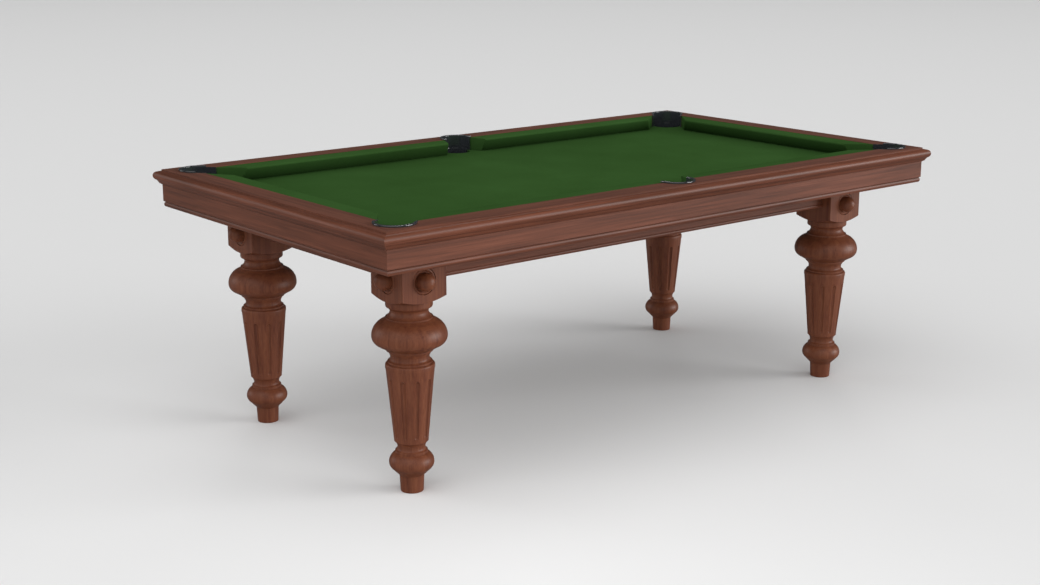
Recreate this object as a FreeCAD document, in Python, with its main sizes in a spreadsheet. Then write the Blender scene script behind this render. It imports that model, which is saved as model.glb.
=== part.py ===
import FreeCAD, Part
import math
import os
import re
import Sketcher

# A six-pocket pool table on four turned legs. Millimetres, +Z up, origin on the
# floor under the middle of the table, +X along the long side.

Vector = FreeCAD.Vector
UP = Vector(0, 0, 1)

SIZES = {
    # Plan of the top, over the nosing of the rails
    "outer_length": 2200,
    "outer_width": 1250,
    "rail_width": 90,
    "cushion_width": 60,
    # Heights of one leg, from the floor up to the top of its square block
    "foot_height": 47,
    "foot_bulb_skirt": 23,
    "foot_bulb_lower": 16,
    "foot_bulb_upper": 27.5,
    "foot_band": 7.5,
    "ankle_lower": 8,
    "ankle_upper": 21.5,
    "shaft_height": 209,
    "collar_height": 7.5,
    "collar_round": 6.5,
    "collar_band": 5,
    "waist_lower": 9.5,
    "waist_upper": 12,
    "bulb_base": 9,
    "bulb_band": 5,
    "bulb_skirt": 11,
    "bulb_lower": 25,
    "bulb_upper": 44.5,
    "bulb_crown": 5,
    "crown_band": 4,
    "throat_lower": 14.5,
    "throat_upper": 12.5,
    "ring_cove": 5.5,
    "ring_height": 13,
    "shoulder_height": 16.5,
    "block_height": 120,
    # Radii of the turning, from the floor up
    "foot_radius": 32.3,
    "foot_edge": 1.5,
    "foot_top_radius": 34.7,
    "foot_bulb_skirt_radius": 56.8,
    "foot_bulb_radius": 63.2,
    "foot_bulb_shoulder": 46.3,
    "ankle_radius": 39.2,
    "shaft_bottom_radius": 48,
    "shaft_top_radius": 67.8,
    "collar_radius": 68.7,
    "collar_round_radius": 63.5,
    "collar_band_radius": 62,
    "waist_radius": 54.3,
    "bulb_foot_radius": 57,
    "bulb_base_radius": 63.5,
    "bulb_band_radius": 69,
    "bulb_skirt_radius": 87.5,
    "bulb_radius": 104.6,
    "bulb_shoulder": 73.5,
    "bulb_crown_radius": 66.5,
    "crown_band_radius": 65.5,
    "fillet_step": 2,
    "throat_flare_round": 25,
    "throat_radius": 53.2,
    "ring_step_radius": 61,
    "ring_radius": 65,
    "shoulder_ledge": 1,
    "shoulder_round": 600,
    # Flutes of the shaft, cut with a round-nosed tool
    "flute_count": 10,
    "flute_tool_top": 9,
    "flute_tool_bottom": 7,
    "flute_depth_top": 4.5,
    "flute_depth_bottom": 3.5,
    "flute_top_margin": 34,
    "flute_bottom_margin": 16,
    # Square block and the rosettes let into its outer faces
    "leg_end_inset": 235.5,
    "leg_side_inset": 233.2,
    "block_side": 147.5,
    "block_edge": 1.5,
    "rosette_height": 47.3,
    "rosette_radius": 37.2,
    "rosette_lip": 0.6,
    "rosette_rim": 4.2,
    "rosette_rim_round": 4.2,
    "rosette_rim_flat": 1.5,
    "rosette_base": 1.5,
    "rosette_groove": 2,
    "button_radius": 25.5,
    "button_neck": 12,
    "dish_depth": 4,
    "dish_clearance": 0.3,
    # Beams between the leg blocks
    "beam_height": 80,
    "beam_thickness": 40,
    "beam_setback": 35.5,
    "beam_bead_height": 11,
    "beam_bead_depth": 2.5,
    # Joists across the beams, which carry the slates
    "joist_width": 70,
    "joist_height": 46,
    # Slate bed and its cloth
    "slate_margin": 20,
    "slate_thickness": 22,
    "cloth_thickness": 1,
    # Rails
    "rail_thickness": 44,
    "rail_edge_inset": 20.5,
    "rail_edge_round": 1.5,
    "rail_step_drop": 4.4,
    "nosing_top_inset": 8.5,
    "nosing_top_drop": 7.2,
    "nosing_drop": 20,
    "nosing_lower": 13.5,
    "nosing_return": 9,
    "bed_mould_height": 9.5,
    "bed_mould_inset": 14.5,
    "soffit_inset": 20,
    "soffit_drop": 3.5,
    # Fascias with the bead along their lower edge
    "fascia_inset": 21,
    "fascia_thickness": 18,
    "fascia_height": 54.5,
    "quirk_height": 2.5,
    "quirk_depth": 4.5,
    "bead_height": 14.5,
    "bead_depth": 3,
    # Cleats inside the fascias, which the rails are bolted to
    "cleat_width": 22,
    # Cushions
    "cushion_top_drop": 0.5,
    "nose_drop": 6,
    "nose_crown": 4.3,
    "nose_crown_run": 4.5,
    "nose_chin": 5,
    "nose_chin_run": 2.5,
    "cushion_toe": 15,
    "cushion_lift": 0.4,
    "cover_thickness": 1.2,
    "cover_clearance": 0.3,
    "corner_jaw_run": 78,
    "middle_jaw_run": 26,
    "jaw_clearance": 1,
    # Pockets
    "corner_pocket_offset": 48,
    "middle_pocket_offset": 62,
    "corner_pocket_radius": 50,
    "middle_pocket_radius": 48,
    "liner_wall": 5,
    "liner_clearance": 0.3,
    "liner_lift": 0.3,
    "corner_cheek": 41,
    "middle_cheek": 8,
    "rim_overlap": 4,
    "rim_height": 5,
    "rim_round": 2.2,
    "rim_cheek": 8,
    "skirt_wall": 3,
    "skirt_clearance": 0.8,
    "skirt_gap": 1,
    "skirt_lap": 3,
    "cup_radius": 44,
    "cup_wall": 3,
    "cup_flange": 4.5,
    "cup_depth": 46,
    "corner_cup_shift": 5.6,
    "middle_cup_shift": 8,
    # Levelling feet
    "pad_radius": 24,
    "pad_thickness": 8,
    "pad_lift": 0.5,
    "pad_clearance": 0.5,
    "pad_edge": 1,
    "spindle_radius": 6,
    "spindle_length": 60,
    "spindle_collar_radius": 11,
    "spindle_collar_height": 3,
    "spindle_tip_gap": 1,
    "spindle_fit": 0.05,
    "key_socket_flats": 6,
    "key_socket_depth": 5,
    "insert_radius": 9,
    "insert_length": 30,
    "insert_clearance": 0.1,
    # Bolts
    "leg_bolt_radius": 6,
    "leg_bolt_head_radius": 9.5,
    "leg_bolt_head_height": 8,
    "leg_bolt_grip": 60,
    "leg_bolt_spacing": 90,
    "rail_bolt_radius": 4,
    "rail_bolt_head_radius": 7,
    "rail_bolt_head_height": 6,
    "rail_bolt_grip": 28,
    "rail_bolt_end_margin": 150,
    "bolt_clearance": 0.3,
}

doc = FreeCAD.newDocument("pool_table")
sheet = doc.addObject("Spreadsheet::Sheet", "dim")
for row, (name, size) in enumerate(SIZES.items(), 1):
    sheet.set("A%d" % row, name)
    sheet.set("B%d" % row, str(size))
    sheet.setAlias("B%d" % row, name)
doc.recompute()

subparts = []


# Expressions on the sheet


def bound(text):
    """Turn words that name a size into references to the sheet."""
    return re.sub(r"[a-z_]+", lambda word: "dim." + word[0] if word[0] in SIZES else word[0], text)


def number(text):
    """Value of an expression, for the first placing of a sketch's geometry."""
    return float(sheet.evalExpression(bound(text)))


def total(*names):
    return "(" + " + ".join(names) + ")"


def half(text):
    return "(%s)/2" % text


def minus(text):
    return "-(%s)" % text


# Levels and places that several pieces share

SHAFT_BOTTOM = total("foot_height", "foot_bulb_skirt", "foot_bulb_lower", "foot_bulb_upper",
                     "foot_band", "ankle_lower", "ankle_upper")
RING_TOP = total(SHAFT_BOTTOM, "shaft_height", "collar_height", "collar_round", "collar_band",
                 "waist_lower", "waist_upper", "bulb_base", "bulb_band", "bulb_skirt", "bulb_lower",
                 "bulb_upper", "bulb_crown", "crown_band", "throat_lower", "throat_upper", "ring_cove",
                 "ring_height")
BLOCK_BOTTOM = total(RING_TOP, "shoulder_height")
FRAME_TOP = total(BLOCK_BOTTOM, "block_height")
SLATE_BOTTOM = total(FRAME_TOP, "joist_height")
SLATE_TOP = total(SLATE_BOTTOM, "slate_thickness")
CLOTH_TOP = total(SLATE_TOP, "cloth_thickness")
RAIL_TOP = total(CLOTH_TOP, "rail_thickness")

NOSE_X = "(outer_length/2 - rail_width - cushion_width)"
NOSE_Y = "(outer_width/2 - rail_width - cushion_width)"
CORNER_X = total(NOSE_X, "corner_pocket_offset")
CORNER_Y = total(NOSE_Y, "corner_pocket_offset")
MIDDLE_Y = total(NOSE_Y, "middle_pocket_offset")
CORNER_IN = "(rail_width + cushion_width - corner_pocket_offset)"
MIDDLE_IN = "(rail_width + cushion_width - middle_pocket_offset)"
SLATE_X = "(outer_length/2 - rail_width + slate_margin)"
SLATE_Y = "(outer_width/2 - rail_width + slate_margin)"
SLATE_JOINT = "(%s/3)" % SLATE_X
LEG_X = "(outer_length/2 - leg_end_inset)"
LEG_Y = "(outer_width/2 - leg_side_inset)"
CORNER_OUTER = total("corner_pocket_radius", "liner_wall")
MIDDLE_OUTER = total("middle_pocket_radius", "liner_wall")
FASCIA_BACK = total("fascia_inset", "fascia_thickness")
CLEAT_BOLT_IN = total(FASCIA_BACK, "cleat_width/2")
CUP_REACH = total("cup_radius", "cup_wall", "cup_flange")
DIAGONAL = "0.5*sqrt(2)"

# Each side of the top, as its turn about Z and the middle of its nosing. In a side's own
# frame x runs along the side and y runs inwards from the nosing.
SIDES = {
    "front": (0, "0", minus(half("outer_width"))),
    "back": (180, "0", half("outer_width")),
    "left": (-90, minus(half("outer_length")), "0"),
    "right": (90, half("outer_length"), "0"),
}
SIDE_LENGTH = {"front": "outer_length", "back": "outer_length",
               "left": "outer_width", "right": "outer_width"}
LEGS = {
    "front_left": (-1, -1),
    "front_right": (1, -1),
    "back_left": (-1, 1),
    "back_right": (1, 1),
}
# Each pocket, as its place and the turn that points local x into the bed
POCKETS = {
    "front_left": (minus(CORNER_X), minus(CORNER_Y), 45, True),
    "front_middle": ("0", minus(MIDDLE_Y), 90, False),
    "front_right": (CORNER_X, minus(CORNER_Y), 135, True),
    "back_left": (minus(CORNER_X), CORNER_Y, -45, True),
    "back_middle": ("0", MIDDLE_Y, -90, False),
    "back_right": (CORNER_X, CORNER_Y, -135, True),
}


# Sketching


def new_body(label):
    body = doc.addObject("PartDesign::Body", label)
    body.Label = label
    return body


def keep(piece, label):
    piece.Label = label
    subparts.append(piece)


def place(piece, x="0", y="0", z="0", turn=0):
    piece.Placement = FreeCAD.Placement(Vector(), FreeCAD.Rotation(UP, turn))
    for axis, text in zip("xyz", (x, y, z)):
        piece.setExpression("Placement.Base." + axis, bound(text))


def new_sketch(body, plane, height="0"):
    """Sketch on one of the body's own origin planes, raised along the plane's normal."""
    sketch = body.newObject("Sketcher::SketchObject", body.Name + "_sketch")
    support = [item for item in body.Origin.OriginFeatures if item.Role == plane + "_Plane"]
    sketch.AttachmentSupport = [(support[0], "")]
    sketch.MapMode = "FlatFace"
    if height != "0":
        sketch.setExpression("AttachmentOffset.Base.z", bound(height))
    return sketch


def tie(sketch, constraints, texts):
    first = sketch.ConstraintCount
    sketch.addConstraint(constraints)
    for index, text in texts:
        sketch.setExpression("Constraints[%d]" % (first + index), bound(text))


def bend_radius(start, end, bend):
    """Radius of an edge that leaves or meets its corner upright or level, or has its own."""
    if bend.startswith("radius "):
        return bend[len("radius "):]
    across = "((%s) - (%s))" % (end[0], start[0])
    along = "((%s) - (%s))" % (end[1], start[1])
    ruling = across if bend.startswith("upright") else along
    return "(%s^2 + %s^2)/(2*abs(%s))" % (across, along, ruling)


def turns_left(first, last, bend, outward):
    """Whether the arc from first to last turns left."""
    run, rise = last.x - first.x, last.y - first.y
    if bend.startswith("radius"):
        return outward
    if bend == "upright_end":
        return (rise > 0) == (run > 0)
    if bend == "upright_start":
        return (rise > 0) == (run < 0)
    if bend == "level_end":
        return (rise > 0) == (run < 0)
    return (rise > 0) == (run > 0)


def arc(first, last, radius, left):
    chord = last - first
    middle = (first + last) * 0.5
    rise = math.sqrt(max(radius * radius - chord.Length ** 2 / 4, 0))
    side = Vector(-chord.y, chord.x, 0).normalize()
    centre = middle + side * (rise if left else -rise)
    begin, finish = (first, last) if left else (last, first)
    angles = [math.atan2(p.y - centre.y, p.x - centre.x) for p in (begin, finish)]
    if angles[1] < angles[0]:
        angles[1] += 2 * math.pi
    return Part.ArcOfCircle(Part.Circle(centre, UP, radius), *angles)


def outline(sketch, corners):
    """Closed outline. A corner is (x, y) or (x, y, bend), and bend shapes the edge after it."""
    count = len(corners)
    spots = [Vector(number(corner[0]), number(corner[1]), 0) for corner in corners]
    edges = []
    radii = []
    for index, corner in enumerate(corners):
        after = (index + 1) % count
        if len(corner) == 2:
            edges.append((sketch.addGeometry(Part.LineSegment(spots[index], spots[after])), 1, 2))
            continue
        text = bend_radius(corner, corners[after], corner[2])
        left = turns_left(spots[index], spots[after], corner[2], len(corner) > 3)
        geometry = sketch.addGeometry(arc(spots[index], spots[after], number(text), left))
        edges.append((geometry, 1, 2) if left else (geometry, 2, 1))
        radii.append((geometry, text))
    constraints = []
    texts = []
    for index, corner in enumerate(corners):
        edge = edges[index]
        last = edges[index - 1]
        constraints.append(Sketcher.Constraint("Coincident", last[0], last[2], edge[0], edge[1]))
        for kind, text, place_now in (("DistanceX", corner[0], spots[index].x),
                                      ("DistanceY", corner[1], spots[index].y)):
            texts.append((len(constraints), text))
            constraints.append(Sketcher.Constraint(kind, edge[0], edge[1], place_now))
    for geometry, text in radii:
        texts.append((len(constraints), text))
        constraints.append(Sketcher.Constraint("Radius", geometry, number(text)))
    tie(sketch, constraints, texts)


def circle(sketch, x, y, radius):
    spot = Vector(number(x), number(y), 0)
    geometry = sketch.addGeometry(Part.Circle(spot, UP, number(radius)))
    tie(sketch, [Sketcher.Constraint("DistanceX", geometry, 3, spot.x),
                 Sketcher.Constraint("DistanceY", geometry, 3, spot.y),
                 Sketcher.Constraint("Radius", geometry, number(radius))],
        [(0, x), (1, y), (2, radius)])


def rectangle(sketch, x_low, x_high, y_low, y_high):
    outline(sketch, [(x_low, y_low), (x_high, y_low), (x_high, y_high), (x_low, y_high)])


# Features


def pad(body, sketch, length, both_ways=False):
    feature = body.newObject("PartDesign::Pad", body.Name + "_pad")
    feature.Profile = sketch
    feature.setExpression("Length", bound(length))
    feature.SideType = "Symmetric" if both_ways else "One side"
    return feature


def cut_through(body, sketch):
    feature = body.newObject("PartDesign::Pocket", body.Name + "_cut")
    feature.Profile = sketch
    feature.Type = "ThroughAll"
    feature.SideType = "Symmetric"
    return feature


def cut_blind(body, sketch, depth, upwards=False):
    feature = body.newObject("PartDesign::Pocket", body.Name + "_hole")
    feature.Profile = sketch
    feature.setExpression("Length", bound(depth))
    feature.Reversed = upwards
    return feature


def revolve(body, sketch):
    feature = body.newObject("PartDesign::Revolution", body.Name + "_turning")
    feature.Profile = sketch
    feature.ReferenceAxis = (sketch, ["V_Axis"])
    feature.Angle = 360
    return feature


# Legs


def leg_outline():
    """Turned section of a leg, as radius and height, with the foot's recess and bores."""
    stations = []
    height = "0"
    for rise, radius in (("foot_height", "foot_top_radius"),
                         ("foot_bulb_skirt", "foot_bulb_skirt_radius"),
                         ("foot_bulb_lower", "foot_bulb_radius"),
                         ("foot_bulb_upper", "foot_bulb_shoulder"),
                         ("foot_band", "foot_bulb_shoulder - fillet_step/2"),
                         ("ankle_lower", "ankle_radius"),
                         ("ankle_upper", "shaft_bottom_radius"),
                         ("shaft_height", "shaft_top_radius"),
                         ("collar_height", "collar_radius"),
                         ("collar_round", "collar_round_radius"),
                         ("collar_band", "collar_band_radius"),
                         ("waist_lower", "waist_radius"),
                         ("waist_upper", "bulb_foot_radius"),
                         ("bulb_base", "bulb_base_radius"),
                         ("bulb_band", "bulb_band_radius"),
                         ("bulb_skirt", "bulb_skirt_radius"),
                         ("bulb_lower", "bulb_radius"),
                         ("bulb_upper", "bulb_shoulder"),
                         ("bulb_crown", "bulb_crown_radius"),
                         ("crown_band", "crown_band_radius"),
                         ("throat_lower", "throat_radius"),
                         ("throat_upper", "ring_step_radius"),
                         ("ring_cove", "ring_radius"),
                         ("ring_height", "ring_radius")):
        height = height + " + " + rise
        stations.append((radius, height))
    (foot, skirt, bulge, shoulder, band, ankle, shaft_low, shaft_high, collar, collar_top,
     collar_band, waist, bulb_foot, bulb_base, bulb_band, bulb_skirt, bulb, bulb_top, crown,
     crown_band, throat, ring_step, ring, ring_top) = stations
    recess = "pad_radius + pad_clearance"
    recess_top = "pad_lift + pad_thickness + spindle_collar_height + pad_clearance"
    insert_bore = "insert_radius + insert_clearance"
    insert_top = recess_top + " + insert_length"
    spindle_bore = "spindle_radius + pad_clearance"
    bore_top = "spindle_tip_gap + spindle_length + pad_clearance"
    return [
        ("foot_radius - foot_edge", "0", "level_start"),
        ("foot_radius", "foot_edge"),
        foot,
        (foot[0], foot[1] + " + fillet_step/2"),
        skirt + ("upright_end",),
        bulge + ("upright_start",),
        shoulder,
        (band[0], shoulder[1]),
        band + ("upright_end",),
        ankle,
        (ankle[0], ankle[1] + " + fillet_step", "upright_start"),
        (shaft_low[0], shaft_low[1] + " - fillet_step"),
        shaft_low,
        shaft_high,
        (collar[0], shaft_high[1]),
        collar + ("upright_start",),
        collar_top,
        (collar_band[0], collar_top[1]),
        collar_band,
        (collar_band[0] + " - fillet_step/2", collar_band[1] + " + fillet_step/2", "upright_end"),
        waist,
        (waist[0], waist[1] + " + waist_upper/2"),
        bulb_foot,
        bulb_base,
        (bulb_base[0] + " + fillet_step", bulb_base[1]),
        (bulb_base[0] + " + fillet_step", bulb_band[1] + " - fillet_step"),
        bulb_band,
        bulb_skirt + ("upright_end",),
        bulb + ("upright_start",),
        bulb_top,
        crown,
        (crown_band[0], crown[1]),
        crown_band,
        (crown_band[0] + " - fillet_step", crown_band[1], "radius throat_flare_round"),
        throat,
        (throat[0], throat[1] + " + fillet_step", "upright_start"),
        ring_step + ("upright_end",),
        ring,
        ring_top,
        ("0", ring_top[1]),
        ("0", bore_top),
        (spindle_bore, bore_top),
        (spindle_bore, insert_top),
        (insert_bore, insert_top),
        (insert_bore, recess_top),
        (recess, recess_top),
        (recess, "0"),
    ]


def cut_flutes(body):
    """Tapered grooves with round ends round the shaft."""
    taper = "((shaft_top_radius - shaft_bottom_radius)/shaft_height)"
    ends = []
    for height, tool, depth in (
            ("shaft_height - flute_top_margin", "flute_tool_top", "flute_depth_top"),
            ("flute_bottom_margin", "flute_tool_bottom", "flute_depth_bottom")):
        radius = "(shaft_bottom_radius + (%s)*%s + %s - %s)" % (height, taper, tool, depth)
        ends.append((radius, total(SHAFT_BOTTOM, height), tool))
    (top_x, top_z, top_tool), (low_x, low_z, low_tool) = ends
    run = "(%s - %s)" % (top_x, low_x)
    rise = "(%s - %s)" % (top_z, low_z)
    sine = "(%s/sqrt(%s^2 + %s^2))" % (run, run, rise)
    cosine = "(%s/sqrt(%s^2 + %s^2))" % (rise, run, rise)
    sketch = new_sketch(body, "XZ")
    upper_side = ("%s + %s*%s" % (top_x, top_tool, cosine), "%s - %s*%s" % (top_z, top_tool, sine))
    lower_side = ("%s + %s*%s" % (low_x, low_tool, cosine), "%s - %s*%s" % (low_z, low_tool, sine))
    upper_tip = ("%s + %s*%s" % (top_x, top_tool, sine), "%s + %s*%s" % (top_z, top_tool, cosine))
    lower_tip = ("%s - %s*%s" % (low_x, low_tool, sine), "%s - %s*%s" % (low_z, low_tool, cosine))
    outline(sketch, [
        lower_tip + ("radius " + low_tool, True),
        lower_side,
        upper_side + ("radius " + top_tool, True),
        upper_tip,
    ])
    axis = sketch.addGeometry(Part.LineSegment(Vector(number(low_x), number(low_z), 0),
                                               Vector(number(top_x), number(top_z), 0)), True)
    tie(sketch, [Sketcher.Constraint("DistanceX", axis, 1, number(low_x)),
                 Sketcher.Constraint("DistanceY", axis, 1, number(low_z)),
                 Sketcher.Constraint("DistanceX", axis, 2, number(top_x)),
                 Sketcher.Constraint("DistanceY", axis, 2, number(top_z))],
        [(0, low_x), (1, low_z), (2, top_x), (3, top_z)])
    groove = body.newObject("PartDesign::Groove", body.Name + "_flute")
    groove.Profile = sketch
    groove.ReferenceAxis = (sketch, ["Axis0"])
    groove.Angle = 360
    pattern = body.newObject("PartDesign::PolarPattern", body.Name + "_flutes")
    pattern.Originals = [groove]
    vertical = [item for item in body.Origin.OriginFeatures if item.Role == "Z_Axis"]
    pattern.Axis = (vertical[0], [""])
    pattern.Angle = 360
    pattern.setExpression("Occurrences", bound("flute_count"))
    body.Tip = pattern


def turn_shoulder(body):
    """Round off the lower corners of the square block, as the lathe leaves them."""
    corner = "(block_side*%s)" % DIAGONAL
    clear = corner + " + shoulder_height"
    sketch = new_sketch(body, "XZ")
    outline(sketch, [
        ("ring_radius + shoulder_ledge", RING_TOP, "radius shoulder_round", True),
        (corner, BLOCK_BOTTOM),
        (clear, BLOCK_BOTTOM),
        (clear, RING_TOP),
    ])
    groove = body.newObject("PartDesign::Groove", body.Name + "_shoulder")
    groove.Profile = sketch
    groove.ReferenceAxis = (sketch, ["V_Axis"])
    groove.Angle = 360


def cut_dish(body, axis, sign):
    """Round recess for a rosette in the block's outer face along one axis."""
    dish = body.newObject("PartDesign::SubtractiveCylinder", body.Name + "_dish")
    dish.setExpression("Radius", bound("rosette_radius + dish_clearance"))
    dish.setExpression("Height", bound("2*dish_depth"))
    dish.Placement = FreeCAD.Placement(Vector(), outward_turn(axis, sign))
    face = "(block_side/2 - dish_depth)*%d" % sign
    dish.setExpression("Placement.Base." + axis, bound(face))
    dish.setExpression("Placement.Base.z", bound(total(BLOCK_BOTTOM, "rosette_height")))


def outward_turn(axis, sign):
    """Turn that takes +Z to the outward normal of a block's face."""
    outward = Vector(sign, 0, 0) if axis == "x" else Vector(0, sign, 0)
    return FreeCAD.Rotation(UP, outward)


def make_leg(label, x_sign, y_sign):
    body = new_body("leg_" + label)
    sketch = new_sketch(body, "XZ")
    outline(sketch, leg_outline())
    revolve(body, sketch)
    cut_flutes(body)
    sketch = new_sketch(body, "XY", RING_TOP)
    side = half("block_side")
    inner = "(block_side/2 - block_edge)"
    outline(sketch, [(minus(inner), minus(side)), (inner, minus(side)),
                     (side, minus(inner)), (side, inner),
                     (inner, side), (minus(inner), side),
                     (minus(side), inner), (minus(side), minus(inner))])
    pad(body, sketch, "shoulder_height + block_height")
    turn_shoulder(body)
    sketch = new_sketch(body, "XY", FRAME_TOP)
    for sign in "-+":
        circle(sketch, "0", sign + "leg_bolt_spacing/2", "leg_bolt_radius + bolt_clearance")
    cut_blind(body, sketch, "leg_bolt_grip + bolt_clearance")
    cut_dish(body, "x", x_sign)
    cut_dish(body, "y", y_sign)
    place(body, "%d*%s" % (x_sign, LEG_X), "%d*%s" % (y_sign, LEG_Y))
    keep(body, "leg_" + label)


def make_rosette(label, x_sign, y_sign, axis):
    """Turned button in its dish, on the outer face of a leg's block along one axis."""
    body = new_body("rosette_%s_%s" % (label, axis))
    sketch = new_sketch(body, "XZ")
    outline(sketch, [
        ("0", "0"),
        ("rosette_radius", "0"),
        ("rosette_radius", "rosette_lip", "level_end"),
        ("rosette_radius - rosette_rim_round", "rosette_rim"),
        ("rosette_radius - rosette_rim_round - rosette_rim_flat", "rosette_rim"),
        ("button_radius + rosette_groove", "rosette_base"),
        ("button_radius", "rosette_base"),
        ("button_radius", "rosette_base + button_neck", "level_end"),
        ("0", "rosette_base + button_neck + button_radius"),
    ])
    revolve(body, sketch)
    sign = x_sign if axis == "x" else y_sign
    body.Placement = FreeCAD.Placement(Vector(), outward_turn(axis, sign))
    seat = "(block_side/2 - dish_depth)*%d" % sign
    x = "%d*%s" % (x_sign, LEG_X) + (" + " + seat if axis == "x" else "")
    y = "%d*%s" % (y_sign, LEG_Y) + (" + " + seat if axis == "y" else "")
    body.setExpression("Placement.Base.x", bound(x))
    body.setExpression("Placement.Base.y", bound(y))
    body.setExpression("Placement.Base.z", bound(total(BLOCK_BOTTOM, "rosette_height")))
    return body


def group(label, pieces):
    """One node that holds several separate solids."""
    together = doc.addObject("Part::Compound", label)
    together.Links = pieces
    keep(together, label)


# Frame


def make_beam(side):
    """Beam between two leg blocks, with a bead along its lower edge."""
    long_side = side in ("front", "back")
    along, across = (LEG_X, LEG_Y) if long_side else (LEG_Y, LEG_X)
    body = new_body("beam_" + side)
    sketch = new_sketch(body, "YZ")
    low = "(%s - beam_height)" % FRAME_TOP
    bead_top = low + " + beam_bead_height"
    outline(sketch, [
        ("beam_thickness", low),
        ("beam_thickness", FRAME_TOP),
        ("0", FRAME_TOP),
        ("0", bead_top + " + beam_bead_depth/2"),
        ("beam_bead_depth", bead_top, "upright_end"),
        ("0", low + " + beam_bead_height/2", "upright_start"),
        ("beam_bead_depth", low),
    ])
    pad(body, sketch, "(2*%s - block_side)" % along, both_ways=True)
    turn, x, y = SIDES[side]
    reach = "(%s + block_side/2 - beam_setback)" % across
    sign = -1 if side in ("front", "left") else 1
    outwards = "%d*%s" % (sign, reach)
    place(body, "0" if long_side else outwards, outwards if long_side else "0", "0", turn)
    keep(body, "beam_" + side)


def make_joist(label, x, over_legs):
    """Joist across the beams. The end ones are bolted down into the leg blocks."""
    body = new_body("joist_" + label)
    reach = "(outer_width/2 - %s)" % FASCIA_BACK
    sketch = new_sketch(body, "XY", FRAME_TOP)
    rectangle(sketch, "-joist_width/2", "joist_width/2", minus(reach), reach)
    pad(body, sketch, "joist_height")
    if over_legs:
        heads = new_sketch(body, "XY", SLATE_BOTTOM)
        holes = new_sketch(body, "XY")
        for end in "-+":
            for step in "-+":
                y = "%s%s %sleg_bolt_spacing/2" % (end, LEG_Y, step)
                circle(heads, "0", y, "leg_bolt_head_radius + bolt_clearance")
                circle(holes, "0", y, "leg_bolt_radius + bolt_clearance")
        cut_through(body, holes)
        cut_blind(body, heads, "leg_bolt_head_height + bolt_clearance")
    place(body, x)
    keep(body, "joist_" + label)


def make_bolt(name, parts):
    """Bolt as a shank and a head, each given as radius, height and level."""
    cylinders = []
    for radius, height, level in parts:
        cylinder = doc.addObject("Part::Cylinder", name + "_part")
        cylinder.setExpression("Radius", bound(radius))
        cylinder.setExpression("Height", bound(height))
        cylinder.setExpression("Placement.Base.z", bound(level))
        cylinders.append(cylinder)
    bolt = doc.addObject("Part::MultiFuse", name)
    bolt.Shapes = cylinders
    return bolt


def make_leg_bolts():
    seat = "(%s - leg_bolt_head_height)" % SLATE_BOTTOM
    tip = "(%s - leg_bolt_grip)" % FRAME_TOP
    bolts = []
    for x_sign, y_sign in LEGS.values():
        for step in "-+":
            bolt = make_bolt("leg_bolt", [("leg_bolt_radius", seat + " - " + tip, tip),
                                          ("leg_bolt_head_radius", "leg_bolt_head_height", seat)])
            place(bolt, "%d*%s" % (x_sign, LEG_X),
                  "%d*%s %sleg_bolt_spacing/2" % (y_sign, LEG_Y, step))
            bolts.append(bolt)
    group("leg_bolts", bolts)


# Top


def mitre(body, length, depth):
    """Cut both ends of a side's piece at 45 degrees, from the nosing's corner inwards."""
    sketch = new_sketch(body, "XY")
    beyond = half(length) + " + " + depth
    for sign in ("", "-1*"):
        outline(sketch, [
            (sign + "(%s)" % beyond, minus(depth)),
            (sign + "(%s)" % beyond, "2*" + depth),
            (sign + "(%s - 2*%s)" % (half(length), depth), "2*" + depth),
        ])
    cut_through(body, sketch)


def rail_bolt_places(side):
    """Where the rail bolts stand along a side, clear of its pockets."""
    corner = "(%s - %s - corner_cup_shift - %s)" % (half(SIDE_LENGTH[side]), CORNER_IN, CUP_REACH)
    far = "(%s - rail_bolt_end_margin)" % corner
    if side in ("left", "right"):
        return [minus(far), "0", far]
    near = "(%s + rail_bolt_end_margin)" % CUP_REACH
    middle = "(%s + %s)/2" % (near, far)
    return [minus(far), minus(middle), minus(near), near, middle, far]


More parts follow.
